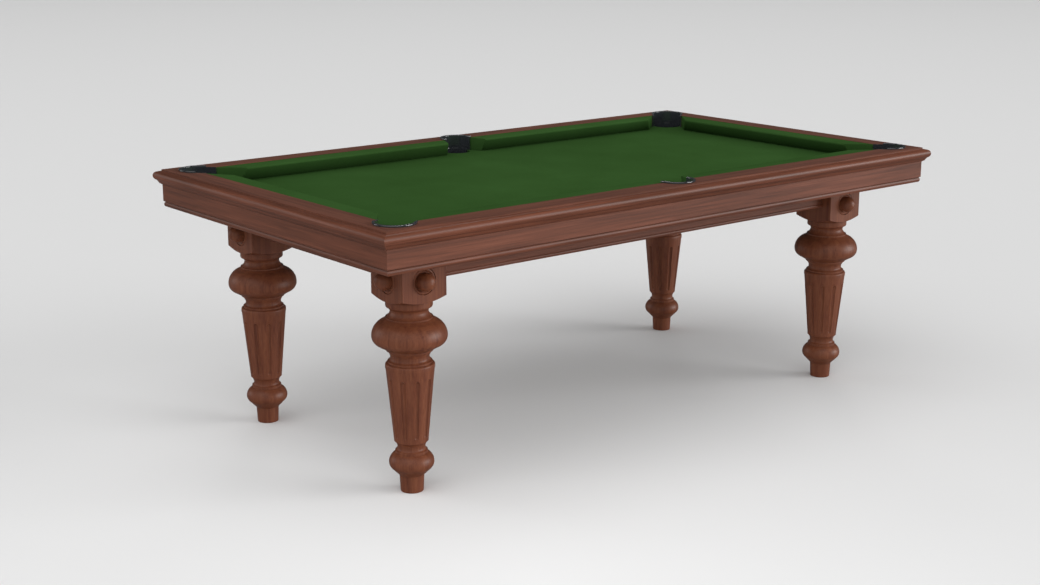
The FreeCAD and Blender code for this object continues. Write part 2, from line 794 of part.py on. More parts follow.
def make_rail(side):
    """Rail with its flat top, rounded nosing and bed mould, mitred and notched for the pockets."""
    length = SIDE_LENGTH[side]
    long_side = side in ("front", "back")
    body = new_body("rail_" + side)
    sketch = new_sketch(body, "YZ")
    nose = "(%s - nosing_drop)" % RAIL_TOP
    crease = "(%s - nosing_lower)" % nose
    soffit = "(%s - bed_mould_height)" % crease
    outline(sketch, [
        ("rail_width", CLOTH_TOP),
        ("rail_width", RAIL_TOP),
        ("rail_edge_inset + rail_edge_round", RAIL_TOP, "upright_end"),
        ("rail_edge_inset", RAIL_TOP + " - rail_edge_round"),
        ("rail_edge_inset", RAIL_TOP + " - rail_step_drop"),
        ("nosing_top_inset", RAIL_TOP + " - nosing_top_drop", "upright_end"),
        ("0", nose, "upright_start"),
        ("nosing_return", crease),
        ("bed_mould_inset", soffit),
        ("soffit_inset", soffit + " - soffit_drop"),
        ("soffit_inset", CLOTH_TOP),
    ])
    pad(body, sketch, length, both_ways=True)
    mitre(body, length, "rail_width")
    rounds = new_sketch(body, "XY")
    throats = new_sketch(body, "XY")
    corner_x = "(%s - %s)" % (half(length), CORNER_IN)
    reach = total(CORNER_OUTER, "liner_clearance")
    for sign in ("-1*", "1*"):
        circle(rounds, sign + corner_x, CORNER_IN, reach)
        near = "(%s - %s*%s)" % (corner_x, reach, DIAGONAL)
        far = "(%s + %s*%s)" % (corner_x, reach, DIAGONAL)
        run = "rail_width"
        low = "(%s - %s*%s)" % (CORNER_IN, reach, DIAGONAL)
        high = "(%s + %s*%s)" % (CORNER_IN, reach, DIAGONAL)
        outline(throats, [
            (sign + near, low),
            (sign + far, high),
            (sign + "(%s - %s)" % (far, run), high + " + " + run),
            (sign + "(%s - %s)" % (near, run), low + " + " + run),
        ])
    if long_side:
        reach = total(MIDDLE_OUTER, "liner_clearance")
        circle(rounds, "0", MIDDLE_IN, reach)
        rectangle(throats, minus(reach), reach, MIDDLE_IN, "2*rail_width")
    cut_through(body, rounds)
    cut_through(body, throats)
    holes = new_sketch(body, "XY", CLOTH_TOP)
    for x in rail_bolt_places(side):
        circle(holes, x, CLEAT_BOLT_IN, "rail_bolt_radius + bolt_clearance")
    cut_blind(body, holes, "rail_bolt_grip + bolt_clearance", upwards=True)
    turn, x, y = SIDES[side]
    place(body, x, y, "0", turn)
    keep(body, "rail_" + side)


def make_fascia(side):
    """Flat apron board with a quirk and a half-round bead along its lower edge."""
    length = SIDE_LENGTH[side]
    body = new_body("fascia_" + side)
    sketch = new_sketch(body, "YZ")
    quirk_top = "(%s - fascia_height)" % CLOTH_TOP
    bead_top = "(%s - quirk_height)" % quirk_top
    low = "(%s - bead_height)" % bead_top
    groove = "fascia_inset + quirk_depth"
    outline(sketch, [
        (FASCIA_BACK, low),
        (FASCIA_BACK, CLOTH_TOP),
        ("fascia_inset", CLOTH_TOP),
        ("fascia_inset", quirk_top),
        (groove, bead_top, "upright_end"),
        (groove + " - bead_depth", low + " + bead_height/2", "upright_start"),
        (groove, low),
    ])
    pad(body, sketch, length, both_ways=True)
    mitre(body, length, FASCIA_BACK)
    turn, x, y = SIDES[side]
    place(body, x, y, "0", turn)
    keep(body, "fascia_" + side)


def make_cleat(side, start, end, bolt_places):
    """Strip inside a fascia, on the joist ends, that the rail is bolted down to."""
    body = new_body("cleat_" + side)
    sketch = new_sketch(body, "XY", SLATE_BOTTOM)
    rectangle(sketch, start, end, FASCIA_BACK, total(FASCIA_BACK, "cleat_width"))
    pad(body, sketch, "slate_thickness + cloth_thickness")
    holes = new_sketch(body, "XY")
    for x in bolt_places:
        circle(holes, x, CLEAT_BOLT_IN, "rail_bolt_radius + bolt_clearance")
    cut_through(body, holes)
    turn, x, y = SIDES[side]
    place(body, x, y, "0", turn)
    return body


def make_cleats():
    cleats = []
    for side in SIDES:
        places = rail_bolt_places(side)
        margin = " + rail_bolt_end_margin/2"
        if side in ("left", "right"):
            cleats.append(make_cleat(side, places[0] + " -" + margin[2:], places[-1] + margin, places))
            continue
        cleats.append(make_cleat(side, places[0] + " -" + margin[2:], places[2] + margin, places[:3]))
        cleats.append(make_cleat(side, places[3] + " -" + margin[2:], places[5] + margin, places[3:]))
    group("rail_cleats", cleats)


def make_rail_bolts():
    bolts = []
    for side, (turn, x, y) in SIDES.items():
        for along in rail_bolt_places(side):
            grip = "(slate_thickness + cloth_thickness + rail_bolt_grip)"
            bolt = make_bolt("rail_bolt", [
                ("rail_bolt_radius", grip, SLATE_BOTTOM),
                ("rail_bolt_head_radius", "rail_bolt_head_height",
                 "(%s - rail_bolt_head_height)" % SLATE_BOTTOM)])
            sine = round(math.sin(math.radians(turn)))
            cosine = round(math.cos(math.radians(turn)))
            place(bolt, "%s + %d*(%s) - %d*%s" % (x, cosine, along, sine, CLEAT_BOLT_IN),
                  "%s + %d*(%s) + %d*%s" % (y, sine, along, cosine, CLEAT_BOLT_IN))
            bolts.append(bolt)
    group("rail_bolts", bolts)


# Slate bed and cloth


def cut_pockets(body, corner_signs, middle):
    """Round holes for the pockets, which run out through the edges of the bed."""
    sketch = new_sketch(body, "XY")
    for y_sign in "-+":
        for x_sign in corner_signs:
            circle(sketch, x_sign + CORNER_X, y_sign + CORNER_Y, "corner_pocket_radius")
        if middle:
            circle(sketch, "0", y_sign + MIDDLE_Y, "middle_pocket_radius")
    cut_through(body, sketch)


def make_bed_piece(label, x_low, x_high, level, thickness, corner_signs, middle):
    body = new_body(label)
    sketch = new_sketch(body, "XY", level)
    rectangle(sketch, x_low, x_high, minus(SLATE_Y), SLATE_Y)
    pad(body, sketch, thickness)
    cut_pockets(body, corner_signs, middle)
    keep(body, label)


# Cushions


def cushion_outline(sketch, inset):
    """Section of a cushion, drawn in by an inset from its cloth's outer face."""
    top = "(%s - cushion_top_drop - (%s))" % (RAIL_TOP, inset)
    nose = "(%s - nose_drop)" % RAIL_TOP
    tip = "(rail_width + cushion_width - (%s))" % inset
    low = "(%s + cushion_lift + (%s))" % (CLOTH_TOP, inset)
    outline(sketch, [
        ("rail_width", low),
        (tip + " - cushion_toe", low),
        (tip + " - nose_chin_run", nose + " - nose_chin", "upright_end"),
        (tip, nose, "upright_start"),
        (tip + " - nose_crown_run", nose + " + nose_crown - (%s)" % inset),
        ("rail_width", top),
    ])


def cushion_span(side, half_name):
    """Ends of a cushion along its side, at the rail and at the nose."""
    reach = "(sqrt(2)*(%s + jaw_clearance))" % CORNER_OUTER
    corner = "(%s - %s + cushion_width - corner_pocket_offset - %s)" % (
        half(SIDE_LENGTH[side]), CORNER_IN, reach)
    corner_nose = "(%s - corner_jaw_run)" % corner
    if half_name is None:
        return (minus(corner), minus(corner_nose)), (corner, corner_nose)
    middle = total(MIDDLE_OUTER, "jaw_clearance")
    middle_nose = total(middle, "middle_jaw_run")
    if half_name == "low":
        return (minus(corner), minus(corner_nose)), (minus(middle), minus(middle_nose))
    return (middle, middle_nose), (corner, corner_nose)


def trim_ends(body, side, half_name, inset="0"):
    """Cut a cushion's ends at the angle of the pocket's jaws, drawn in by an inset."""
    (start, start_nose), (end, end_nose) = cushion_span(side, half_name)
    spread = "outer_length"
    wall = "rail_width"
    nose = "(rail_width + cushion_width)"
    sketch = new_sketch(body, "XY")
    for rail_end, nose_end, away, back in ((start, start_nose, " - ", " + "),
                                           (end, end_nose, " + ", " - ")):
        slope = "((%s - (%s))/cushion_width)" % (nose_end, rail_end)
        drawn = "%s(%s)*sqrt(1 + %s^2)" % (back, inset, slope)
        outer = "(%s - rail_width*%s%s)" % (rail_end, slope, drawn)
        inner = "(%s + rail_width*%s%s)" % (nose_end, slope, drawn)
        outline(sketch, [
            (outer, "0"),
            (inner, nose + " + " + wall),
            (inner + away + spread, nose + " + " + wall),
            (outer + away + spread, "0"),
        ])
    cut_through(body, sketch)


def make_filling(name, side, half_name, inset):
    """Length of cushion, drawn in all round by an inset from its cloth's outer face."""
    body = new_body(name)
    sketch = new_sketch(body, "YZ")
    cushion_outline(sketch, inset)
    pad(body, sketch, SIDE_LENGTH[side], both_ways=True)
    trim_ends(body, side, half_name, inset)
    turn, x, y = SIDES[side]
    place(body, x, y, "0", turn)
    return body


def make_cushion(label, side, half_name):
    """Cloth over a cushion and its ends, open along the rail where it is tucked in."""
    cover = doc.addObject("Part::Cut", label)
    cover.Base = make_filling(label + "_outside", side, half_name, "0")
    cover.Tool = make_filling(label + "_inside", side, half_name, "cover_thickness")
    keep(cover, label)


def make_rubber(label, side, half_name):
    """Rubber profile inside a cushion's cloth, glued to the rail."""
    return make_filling(label + "_rubber", side, half_name, "cover_thickness + cover_clearance")


CUSHIONS = {
    "cushion_front_left": ("front", "low"),
    "cushion_front_right": ("front", "high"),
    "cushion_back_left": ("back", "high"),
    "cushion_back_right": ("back", "low"),
    "cushion_left": ("left", None),
    "cushion_right": ("right", None),
}


# Pockets


def trough_outline(sketch, inner, outer, cheek):
    """Plan of a pocket's liner: a half ring with two straight cheeks, open along local x."""
    outline(sketch, [
        (cheek, outer),
        ("0", outer, "upright_end"),
        (minus(outer), "0", "upright_start"),
        ("0", minus(outer)),
        (cheek, minus(outer)),
        (cheek, minus(inner)),
        ("0", minus(inner), "upright_end"),
        (minus(inner), "0", "upright_start"),
        ("0", inner),
        (cheek, inner),
    ])


def half_ring(sketch, inner, outer):
    """Half ring on the outer side of a pocket's hole, away from the bed."""
    outline(sketch, [
        ("0", outer, "upright_end"),
        (minus(outer), "0", "upright_start"),
        ("0", minus(outer)),
        ("0", minus(inner), "upright_end"),
        (minus(inner), "0", "upright_start"),
        ("0", inner),
    ])


def add_skirt(body, inner, low):
    """Thin wall below a liner, which closes the pocket where the slate's edge leaves it open."""
    outer = "(%s - skirt_clearance)" % inner
    inside = "(%s - skirt_wall)" % outer
    foot = total(SLATE_BOTTOM, "skirt_gap")
    sketch = new_sketch(body, "XY", low)
    half_ring(sketch, inside, total(inner, "liner_wall/2"))
    pad(body, sketch, "skirt_lap")
    sketch = new_sketch(body, "XY", foot)
    half_ring(sketch, inside, outer)
    pad(body, sketch, "%s + skirt_lap - %s" % (low, foot))


def make_liner(label, x, y, turn, corner):
    """Moulded liner: a wall on the cloth, a rounded rim on the rail's top and a skirt below."""
    inner = "corner_pocket_radius" if corner else "middle_pocket_radius"
    outer = total(inner, "liner_wall")
    cheek = "corner_cheek" if corner else "middle_cheek"
    body = new_body("pocket_liner_" + label)
    low = total(CLOTH_TOP, "liner_lift")
    sketch = new_sketch(body, "XY", low)
    trough_outline(sketch, inner, outer, cheek)
    pad(body, sketch, "%s - %s" % (RAIL_TOP, low))
    sketch = new_sketch(body, "XY", RAIL_TOP)
    trough_outline(sketch, inner, total(outer, "rim_overlap"), "rim_cheek")
    rim = pad(body, sketch, "rim_height")
    doc.recompute()
    top = number(RAIL_TOP) + number("rim_height")
    names = ["Edge%d" % (index + 1) for index, edge in enumerate(rim.Shape.Edges)
             if abs(edge.BoundBox.ZMin - top) < 0.01]
    fillet = body.newObject("PartDesign::Fillet", body.Name + "_fillet")
    fillet.Base = (rim, names)
    fillet.setExpression("Radius", bound("rim_round"))
    add_skirt(body, inner, low)
    place(body, x, y, "0", turn)
    keep(body, "pocket_liner_" + label)


def make_cup(label, x, y, turn, corner):
    """Shallow cup under a pocket's hole, with a flange against the slate."""
    body = new_body("pocket_cup_" + label)
    top = SLATE_BOTTOM
    low = "(%s - cup_depth)" % top
    sketch = new_sketch(body, "XZ")
    outline(sketch, [
        ("0", low),
        ("cup_radius + cup_wall", low),
        ("cup_radius + cup_wall", top + " - cup_wall"),
        (CUP_REACH, top + " - cup_wall"),
        (CUP_REACH, top),
        ("cup_radius", top),
        ("cup_radius", low + " + cup_wall"),
        ("0", low + " + cup_wall"),
    ])
    revolve(body, sketch)
    shift = "corner_cup_shift" if corner else "middle_cup_shift"
    cosine = round(math.cos(math.radians(turn)), 6)
    sine = round(math.sin(math.radians(turn)), 6)
    place(body, "%s + %s*%f" % (x, shift, cosine), "%s + %s*%f" % (y, shift, sine))
    keep(body, "pocket_cup_" + label)


# Levelling feet


def make_pad(label, x, y):
    """Round pad that stands in the foot's recess and comes down as its spindle is turned."""
    body = new_body("foot_pad_" + label)
    sketch = new_sketch(body, "XZ")
    bore = "spindle_radius + spindle_fit"
    top = "pad_lift + pad_thickness"
    outline(sketch, [
        (bore, "pad_lift"),
        ("pad_radius - pad_edge", "pad_lift", "upright_end"),
        ("pad_radius", "pad_lift + pad_edge"),
        ("pad_radius", top),
        (bore, top),
    ])
    revolve(body, sketch)
    place(body, x, y)
    keep(body, "foot_pad_" + label)


def make_spindle(label, x, y):
    """Screw of a levelling foot, with a collar on the pad and a hexagon socket below."""
    body = new_body("foot_spindle_" + label)
    sketch = new_sketch(body, "XZ")
    seat = "pad_lift + pad_thickness"
    collar_top = seat + " + spindle_collar_height"
    outline(sketch, [
        ("0", "spindle_tip_gap"),
        ("spindle_radius", "spindle_tip_gap"),
        ("spindle_radius", seat),
        ("spindle_collar_radius", seat),
        ("spindle_collar_radius", collar_top),
        ("spindle_radius", collar_top),
        ("spindle_radius", "spindle_tip_gap + spindle_length"),
        ("0", "spindle_tip_gap + spindle_length"),
    ])
    revolve(body, sketch)
    socket = new_sketch(body, "XY", "spindle_tip_gap")
    corner = "(key_socket_flats/sqrt(3))"
    flat = "(key_socket_flats/2)"
    outline(socket, [(corner, "0"), (half(corner), flat), (minus(half(corner)), flat),
                     (minus(corner), "0"), (minus(half(corner)), minus(flat)),
                     (half(corner), minus(flat))])
    cut_blind(body, socket, "key_socket_depth", upwards=True)
    place(body, x, y)
    keep(body, "foot_spindle_" + label)


def make_insert(label, x, y):
    """Threaded brass insert in the foot, drawn with a plain bore."""
    body = new_body("foot_insert_" + label)
    sketch = new_sketch(body, "XZ")
    low = "pad_lift + pad_thickness + spindle_collar_height + pad_clearance"
    bore = "spindle_radius + spindle_fit"
    rectangle(sketch, bore, "insert_radius", low, low + " + insert_length")
    revolve(body, sketch)
    place(body, x, y)
    return body


# Assembly

for label, (x_sign, y_sign) in LEGS.items():
    make_leg(label, x_sign, y_sign)
group("rosettes", [make_rosette(label, *signs, axis) for label, signs in LEGS.items() for axis in "xy"])

for side in SIDES:
    make_beam(side)
make_joist("left_end", minus(LEG_X), True)
make_joist("left_middle", minus(SLATE_JOINT), False)
make_joist("right_middle", SLATE_JOINT, False)
make_joist("right_end", LEG_X, True)
make_leg_bolts()

for side in SIDES:
    make_rail(side)
    make_fascia(side)
make_cleats()
make_rail_bolts()

for label, x_low, x_high, corner_signs, middle in (
        ("slate_left", minus(SLATE_X), minus(SLATE_JOINT), "-", False),
        ("slate_middle", minus(SLATE_JOINT), SLATE_JOINT, "", True),
        ("slate_right", SLATE_JOINT, SLATE_X, "+", False)):
    make_bed_piece(label, x_low, x_high, SLATE_BOTTOM, "slate_thickness", corner_signs, middle)
make_bed_piece("bed_cloth", minus(SLATE_X), SLATE_X, SLATE_TOP, "cloth_thickness", "-+", True)

for label, (side, half_name) in CUSHIONS.items():
    make_cushion(label, side, half_name)
group("cushion_rubber", [make_rubber(label, *where) for label, where in CUSHIONS.items()])

for label, where in POCKETS.items():
    make_liner(label, *where)
    make_cup(label, *where)

inserts = []
for label, (x_sign, y_sign) in LEGS.items():
    leg_place = ("%d*%s" % (x_sign, LEG_X), "%d*%s" % (y_sign, LEG_Y))
    make_pad(label, *leg_place)
    make_spindle(label, *leg_place)
    inserts.append(make_insert(label, *leg_place))
group("foot_inserts", inserts)

doc.recompute()

# Nothing is written unless every object is sound
for item in doc.Objects:
    if "Invalid" in item.State or "Error" in item.State:
        raise SystemExit("failed: %s %s" % (item.Name, item.State))
for piece in subparts:
    if piece.Shape.isNull() or not piece.Shape.isValid():
        raise SystemExit("unsound shape: " + piece.Label)

os.makedirs("parts", exist_ok=True)
for piece in subparts:
    piece.Shape.exportStep("parts/%s.step" % piece.Label)
    print("%-28s %d solid(s) %10.1f cm3" % (piece.Label, len(piece.Shape.Solids), piece.Shape.Volume / 1000))
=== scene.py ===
# %% [markdown]
# # A pool table with turned legs
# The table's wooden frame, slates, pockets and feet come from the CAD model, which is loaded
# as a fixed frame in metres: +X along the long side, +Z up, the floor at Z = 0. This lesson
# gives each of its pieces a finish, and makes the soft ones, the cloth and the cushions, as
# pieces of their own.

# %% Load the frame
import math

import bmesh
import bpy
from mathutils import Matrix, Vector


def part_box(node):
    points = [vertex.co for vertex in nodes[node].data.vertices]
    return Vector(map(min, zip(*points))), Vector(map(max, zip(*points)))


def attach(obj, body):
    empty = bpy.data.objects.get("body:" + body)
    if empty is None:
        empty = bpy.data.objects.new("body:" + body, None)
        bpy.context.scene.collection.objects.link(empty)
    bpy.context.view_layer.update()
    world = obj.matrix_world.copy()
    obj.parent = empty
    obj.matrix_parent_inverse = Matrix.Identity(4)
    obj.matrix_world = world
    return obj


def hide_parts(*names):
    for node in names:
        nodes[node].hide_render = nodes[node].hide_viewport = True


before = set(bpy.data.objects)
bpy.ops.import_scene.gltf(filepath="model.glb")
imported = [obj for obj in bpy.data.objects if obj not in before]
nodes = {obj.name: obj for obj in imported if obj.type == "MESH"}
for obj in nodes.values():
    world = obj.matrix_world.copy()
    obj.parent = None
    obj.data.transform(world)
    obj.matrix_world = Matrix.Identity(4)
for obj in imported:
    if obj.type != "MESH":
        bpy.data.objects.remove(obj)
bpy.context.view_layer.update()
scene = bpy.context.scene

# %% [markdown]
# ## Helpers for finishes
# A colour is easiest to compare with a photograph as a hex value, but a shader works in
# linear light, so one function turns hex to linear. A second one adds a node with its
# settings and its links, which keeps each material short enough to read as a recipe.


# %% Colour and node helpers
def linear(hex_colour):
    """Linear RGBA of an sRGB hex colour."""
    channels = [int(hex_colour[i:i + 2], 16) / 255 for i in (1, 3, 5)]
    bent = [c / 12.92 if c <= 0.04045 else ((c + 0.055) / 1.055) ** 2.4 for c in channels]
    return (*bent, 1.0)


def add(tree, kind, settings=None, links=None, **values):
    """Add a node: settings are its properties, links its linked inputs, values its plain inputs."""
    node = tree.nodes.new("ShaderNode" + kind)
    for name, value in (settings or {}).items():
        setattr(node, name, value)
    for name, value in values.items():
        node.inputs[name.replace("_", " ")].default_value = value
    for name, socket in (links or {}).items():
        tree.links.new(socket, node.inputs[name])
    return node


def new_material(name):
    """New material, its node tree and its shader."""
    material = bpy.data.materials.new(name)
    material.use_nodes = True
    tree = material.node_tree
    shader = tree.nodes["Principled BSDF"]
    return material, tree, shader


def per_metre(*sizes_mm):
    """Repeats per metre of a pattern whose features are that many millimetres long."""
    return tuple(1000.0 / size for size in sizes_mm)


def ramp(tree, factor, stops):
    """Colour ramp from (position, hex) stops."""
    node = add(tree, "ValToRGB", links={"Fac": factor})
    elements = node.color_ramp.elements
    while len(elements) < len(stops):
        elements.new(0.5)
    for element, (position, hex_colour) in zip(elements, stops):
        element.position = position
        element.color = linear(hex_colour)
    return node.outputs["Color"]


# %% [markdown]
# ## Stained mahogany
# The frame is mahogany, stained red-brown and finished with a satin varnish. Mahogany has
# straight, fine grain: long darker streaks a few millimetres wide, short open pores, and a
# slow change of tone along each board. The grain runs along each board and up each leg, so
# the same recipe is made once for each direction, and the legs take lighter colours: painted
# light that makes up for the shade under the table top. A figure that changes only slowly
# along the grain is a noise that is stretched along it. The flat tops of the rails are rubbed
# dull by hands, so the sheen fades out towards that height, and they are painted a little
# darker there: painted shade, as the low lamps light the tops less than the fronts.


# %% Mahogany for boards and legs
BOARD_STOPS = ((0.30, "#3b1b12"), (0.44, "#573020"), (0.56, "#683a28"), (0.74, "#804e3a"))
# The legs' colours are lighter than the boards': painted light that makes up for the shade under the
# table top.
LEG_PAINTED_LIGHT_STOPS = ((0.30, "#4a2216"), (0.44, "#613422"), (0.56, "#6f3f29"), (0.74, "#835039"))
RAIL_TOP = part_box("rail_front")[1].z
# Band at the rail tops: real rubbed roughness, and a colour multiplied darker as painted shade.
RUBBED_AND_SHADED_DEPTH = 0.004
TOP_PAINTED_SHADE_TONE = 0.84
RUBBED_ROUGHNESS = 0.95


def stained_mahogany(name, grain_axis, stops):
    """Varnished mahogany with its grain along one axis."""
    material, tree, shader = new_material(name)
    place = add(tree, "TexCoord").outputs["Object"]

    def stretched(along_mm, across_mm, detail, roughness, distortion=0.0):
        scale = [per_metre(across_mm)[0]] * 3
        scale["XYZ".index(grain_axis)] = per_metre(along_mm)[0]
        turned = add(tree, "Mapping", links={"Vector": place}, Scale=scale)
        return add(tree, "TexNoise", links={"Vector": turned.outputs["Vector"]}, Scale=1.0,
                   Detail=detail, Roughness=roughness, Distortion=distortion).outputs["Fac"]

    figure = stretched(420, 14, 4.0, 0.6, 0.6)
    streaks = stretched(160, 2.2, 4.0, 0.6)
    pores = stretched(14, 0.7, 2.0, 0.5)
    drift = stretched(900, 160, 2.0, 0.5)
    mixed = add(tree, "Mix", {"data_type": "FLOAT"}, {"A": figure, "B": streaks}, Factor=0.45)
    toned = add(tree, "Mix", {"data_type": "FLOAT"}, {"A": mixed.outputs["Result"], "B": drift},
                Factor=0.15)
    wood = ramp(tree, toned.outputs["Result"], stops)
    open_pores = add(tree, "MapRange", links={"Value": pores}, From_Min=0.30, From_Max=0.42,
                     To_Min=0.80, To_Max=1.0)
    dark = add(tree, "Mix", {"data_type": "RGBA", "blend_type": "MULTIPLY"},
               {"A": wood, "B": open_pores.outputs["Result"]}, Factor=0.6)
    # Near the height of the rail tops the colour is multiplied darker: painted shade on the flat tops.
    # The roughness rising there is real rubbed wear.
    height = add(tree, "SeparateXYZ", links={"Vector": place}).outputs["Z"]
    rubbed_and_shaded_top = add(tree, "MapRange", links={"Value": height}, From_Min=RAIL_TOP - RUBBED_AND_SHADED_DEPTH,
                 From_Max=RAIL_TOP).outputs["Result"]
    top_painted_shade = add(tree, "Mix", {"data_type": "FLOAT"}, {"Factor": rubbed_and_shaded_top}, A=1.0, B=TOP_PAINTED_SHADE_TONE)
    shaded_top_wood = add(tree, "Mix", {"data_type": "RGBA", "blend_type": "MULTIPLY"},
                  {"A": dark.outputs["Result"], "B": top_painted_shade.outputs["Result"]}, Factor=1.0)
    tree.links.new(shaded_top_wood.outputs["Result"], shader.inputs["Base Color"])
    satin = add(tree, "MapRange", links={"Value": streaks}, To_Min=0.36, To_Max=0.50)
    sheen = add(tree, "Mix", {"data_type": "FLOAT"},
                {"Factor": rubbed_and_shaded_top, "A": satin.outputs["Result"]}, B=RUBBED_ROUGHNESS)
    tree.links.new(sheen.outputs["Result"], shader.inputs["Roughness"])
    relief = add(tree, "Bump", links={"Height": open_pores.outputs["Result"]}, Strength=0.10,
                 Distance=0.0003)
    tree.links.new(relief.outputs["Normal"], shader.inputs["Normal"])
    shader.inputs["Specular IOR Level"].default_value = 0.25
    return material


mahogany = {axis: stained_mahogany("stained_mahogany_along_" + axis.lower(), axis, stops)
            for axis, stops in (("X", BOARD_STOPS), ("Y", BOARD_STOPS), ("Z", LEG_PAINTED_LIGHT_STOPS))}
print("mahogany", sorted(mahogany))

# %% [markdown]
# ## Green wool cloth
# The bed and the cushions wear the same napped wool cloth. It is matt, with a fine bumpy nap
# and a very fine mottle. The real threads are well under a millimetre, too fine to show from
# here, so the weave is drawn a little coarser.


# %% Wool cloth
def wool_cloth(name, shade, light):
    """Matt napped wool between two greens."""
    material, tree, shader = new_material(name)
    place = add(tree, "TexCoord").outputs["Object"]
    fibres = add(tree, "TexNoise", links={"Vector": place}, Scale=per_metre(1.6)[0], Detail=3.0,
                 Roughness=0.6).outputs["Fac"]
    clouds = add(tree, "TexNoise", links={"Vector": place}, Scale=per_metre(220)[0], Detail=2.0,
                 Roughness=0.5).outputs["Fac"]
    both = add(tree, "Mix", {"data_type": "FLOAT"}, {"A": fibres, "B": clouds}, Factor=0.4)
    tree.links.new(ramp(tree, both.outputs["Result"], ((0.3, shade), (0.7, light))),
                   shader.inputs["Base Color"])
    nap = add(tree, "Bump", links={"Height": fibres}, Strength=0.25, Distance=0.0004)
    tree.links.new(nap.outputs["Normal"], shader.inputs["Normal"])
    shader.inputs["Roughness"].default_value = 0.95
    shader.inputs["Specular IOR Level"].default_value = 0.0
    return material


bed_wool = wool_cloth("green_wool_cloth", "#29431e", "#335128")
print("cloth", bed_wool.name)

# %% [markdown]
# ## Black pocket plastic
# The liners are moulded in glossy black plastic. Their colour is a dark grey, lighter than the
# black itself: a painted reflection of the pale floor on their walls. The lamps draw bright lines
# along the rounded rim. A faint unevenness in the roughness keeps the highlights from looking
# drawn with a ruler, and a polish over it makes them crisp. The cups below and the pads of the
# feet are the same plastic, moulded with a matt face.


# %% Plastics
def moulded_plastic(name, hex_colour, roughness_low, roughness_high, grain_mm, relief_mm,
                    polish=0.0):
    """Moulded plastic or rubber with a faint grain, and a clear polish where it is asked for."""
    material, tree, shader = new_material(name)
    place = add(tree, "TexCoord").outputs["Object"]
    grain = add(tree, "TexNoise", links={"Vector": place}, Scale=per_metre(grain_mm)[0], Detail=3.0,
                Roughness=0.55).outputs["Fac"]
    rough = add(tree, "MapRange", links={"Value": grain}, To_Min=roughness_low, To_Max=roughness_high)
    tree.links.new(rough.outputs["Result"], shader.inputs["Roughness"])
    skin = add(tree, "Bump", links={"Height": grain}, Strength=0.3, Distance=relief_mm / 1000)
    tree.links.new(skin.outputs["Normal"], shader.inputs["Normal"])
    shader.inputs["Base Color"].default_value = linear(hex_colour)
    shader.inputs["IOR"].default_value = 1.53
    shader.inputs["Coat Weight"].default_value = polish
    shader.inputs["Coat Roughness"].default_value = 0.06
    return material


# The gloss plastic's dark grey is lighter than its own black: painted reflection of the pale floor on
# the liner walls.
gloss_black = moulded_plastic("gloss_black_plastic", "#2a2d30", 0.08, 0.14, 30.0, 0.02, polish=1.0)
matt_black = moulded_plastic("matt_black_plastic", "#1b1b1c", 0.50, 0.70, 1.2, 0.05)
cushion_gum = moulded_plastic("black_cushion_rubber", "#1c1a18", 0.70, 0.90, 1.5, 0.05)
print("plastics", gloss_black.name, matt_black.name, cushion_gum.name)

# %% [markdown]
# ## Hidden materials: slate, pine, steel and brass
# From below and in exploded views the inside shows: split grey slate, sawn pine for the
# joists and cleats, zinc-plated steel for the bolts and foot screws, brass for the inserts.


# %% Slate, pine and metals
def ground_slate(name):
    """Grey slate in thin level layers."""
    material, tree, shader = new_material(name)
    place = add(tree, "TexCoord").outputs["Object"]
    layers = add(tree, "Mapping", links={"Vector": place}, Scale=per_metre(90, 60, 4))
    split = add(tree, "TexNoise", links={"Vector": layers.outputs["Vector"]}, Scale=1.0, Detail=5.0,
                Roughness=0.6).outputs["Fac"]
    grit = add(tree, "TexNoise", links={"Vector": place}, Scale=per_metre(1.5)[0],
               Detail=2.0).outputs["Fac"]
    both = add(tree, "Mix", {"data_type": "FLOAT"}, {"A": split, "B": grit}, Factor=0.3)
    tree.links.new(ramp(tree, both.outputs["Result"], ((0.3, "#34373a"), (0.7, "#50555a"))),
                   shader.inputs["Base Color"])
    relief = add(tree, "Bump", links={"Height": both.outputs["Result"]}, Strength=0.4, Distance=0.0006)
    tree.links.new(relief.outputs["Normal"], shader.inputs["Normal"])
    shader.inputs["Roughness"].default_value = 0.75
    return material


def sawn_pine(name, grain_axis):
    """Raw pine with its grain along one axis."""
    material, tree, shader = new_material(name)
    place = add(tree, "TexCoord").outputs["Object"]
    scale = [per_metre(9)[0]] * 3
    scale["XYZ".index(grain_axis)] = per_metre(300)[0]
    turned = add(tree, "Mapping", links={"Vector": place}, Scale=scale)
    rings = add(tree, "TexNoise", links={"Vector": turned.outputs["Vector"]}, Scale=1.0, Detail=4.0,
                Roughness=0.6, Distortion=0.4).outputs["Fac"]
    tree.links.new(ramp(tree, rings, ((0.35, "#8a6640"), (0.6, "#b8935f"))), shader.inputs["Base Color"])
    saw = add(tree, "Bump", links={"Height": rings}, Strength=0.3, Distance=0.0006)
    tree.links.new(saw.outputs["Normal"], shader.inputs["Normal"])
    shader.inputs["Roughness"].default_value = 0.7
    return material


def plated_metal(name, hex_colour, roughness_low, roughness_high):
    """Metal with fine turning marks."""
    material, tree, shader = new_material(name)
    place = add(tree, "TexCoord").outputs["Object"]
    turned = add(tree, "Mapping", links={"Vector": place}, Scale=per_metre(3, 3, 0.4))
    marks = add(tree, "TexNoise", links={"Vector": turned.outputs["Vector"]}, Scale=1.0,
                Detail=2.0).outputs["Fac"]
    rough = add(tree, "MapRange", links={"Value": marks}, To_Min=roughness_low, To_Max=roughness_high)
    tree.links.new(rough.outputs["Result"], shader.inputs["Roughness"])
    shader.inputs["Base Color"].default_value = linear(hex_colour)
    shader.inputs["Metallic"].default_value = 1.0
    return material


